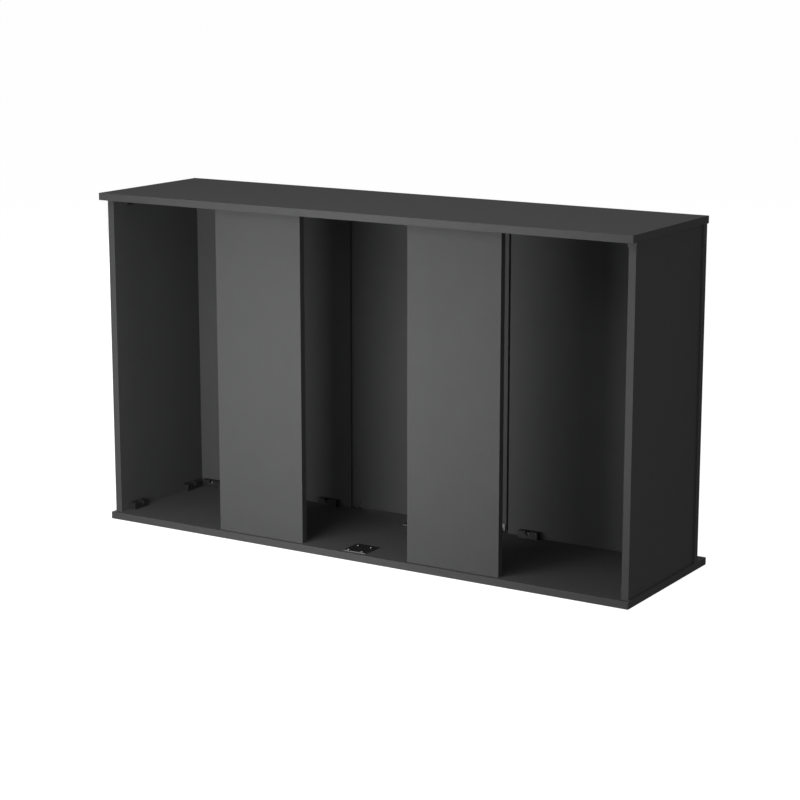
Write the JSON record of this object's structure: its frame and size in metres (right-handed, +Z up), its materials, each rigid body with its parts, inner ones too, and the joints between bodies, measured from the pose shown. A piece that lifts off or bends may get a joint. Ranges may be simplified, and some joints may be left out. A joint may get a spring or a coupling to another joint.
{
  "type": "aquarium stand cabinet",
  "caption": "Wide open-fronted aquarium stand cabinet in dark melamine board, with two fixed front panels, a hinged rear service door and corner connectors inside.",
  "frame": {"origin": "under the middle of the bounding box, on the underside of the bottom board", "axes": "+X along the cabinet's length, to the right seen from the open front; +Y to the back; +Z up"},
  "size_m": [1.51, 0.4474, 0.864],
  "materials": {
    "melamine_board": "anthracite melamine facing on chipboard, fine satin grain, slightly glossy at low angles",
    "abs_edging": "anthracite ABS edge strip, rounded arrises",
    "connector_plastic": "black moulded plastic, fine satin texture",
    "fitting_plastic": "black moulded plastic, smooth",
    "zinc_steel": "bright zinc-plated steel",
    "black_screw": "black-oxide steel bolt or screw",
    "plate_steel": "black powder-coated plate with bare bright edges",
    "strike_steel": "satin zinc-plated steel, on the strike plate and its screws",
    "magnet": "dark ferrite magnet",
    "beech_dowel": "plain beech dowel"
  },
  "bodies": {
    "carcass": {"bottom_board": "melamine_board", "catch_magnet": "magnet", "catch_screws": "zinc_steel", "connector_bolts": "black_screw", "connector_left_back_panel_inner_bottom": "connector_plastic", "connector_left_back_panel_inner_top": "connector_plastic", "connector_left_back_panel_outer_bottom": "connector_plastic", "connector_left_back_panel_outer_top": "connector_plastic", "connector_left_front_panel_inner_bottom": "connector_plastic", "connector_left_front_panel_inner_top": "connector_plastic", "connector_left_front_panel_outer_bottom": "connector_plastic", "connector_left_front_panel_outer_top": "connector_plastic", "connector_left_side_panel_front_bottom": "connector_plastic", "connector_left_side_panel_front_top": "connector_plastic", "connector_left_side_panel_rear_bottom": "connector_plastic", "connector_left_side_panel_rear_top": "connector_plastic", "connector_right_back_panel_inner_bottom": "connector_plastic", "connector_right_back_panel_inner_top": "connector_plastic", "connector_right_back_panel_outer_bottom": "connector_plastic", "connector_right_back_panel_outer_top": "connector_plastic", "connector_right_front_panel_inner_bottom": "connector_plastic", "connector_right_front_panel_inner_top": "connector_plastic", "connector_right_front_panel_outer_bottom": "connector_plastic", "connector_right_front_panel_outer_top": "connector_plastic", "connector_right_side_panel_front_bottom": "connector_plastic", "connector_right_side_panel_front_top": "connector_plastic", "connector_right_side_panel_rear_bottom": "connector_plastic", "connector_right_side_panel_rear_top": "connector_plastic", "edging_bottom_board": "abs_edging", "edging_left_back_panel": "abs_edging", "edging_left_front_panel": "abs_edging", "edging_left_side_panel": "abs_edging", "edging_right_back_panel": "abs_edging", "edging_right_front_panel": "abs_edging", "edging_right_side_panel": "abs_edging", "edging_top_board": "abs_edging", "floor_plate_front": "plate_steel", "floor_plate_rear": "plate_steel", "floor_plate_screws": "zinc_steel", "left_back_panel": "melamine_board", "left_front_panel": "melamine_board", "left_side_panel": "melamine_board", "magnetic_catch": "fitting_plastic", "pivot_pin_bottom": "zinc_steel", "pivot_pin_top": "zinc_steel", "pivot_spacers": "fitting_plastic", "right_back_panel": "melamine_board", "right_front_panel": "melamine_board", "right_side_panel": "melamine_board", "threaded_inserts": "zinc_steel", "top_board": "melamine_board", "wooden_dowels": "beech_dowel"},
    "rear_door": {"rear_door": "melamine_board", "edging_rear_door": "abs_edging", "pivot_socket_bottom": "fitting_plastic", "pivot_socket_top": "fitting_plastic", "pivot_socket_screws": "black_screw", "strike_plate": "strike_steel", "strike_plate_screws": "strike_steel"}
  },
  "joints": [
    {"name": "rear_door_pivot", "type": "hinge", "parent": "carcass", "child": "rear_door", "pos_m": [-0.218, 0.1659, 0.432], "axis": [0, 0, 1], "range_deg": [0, 125]}
  ]
}
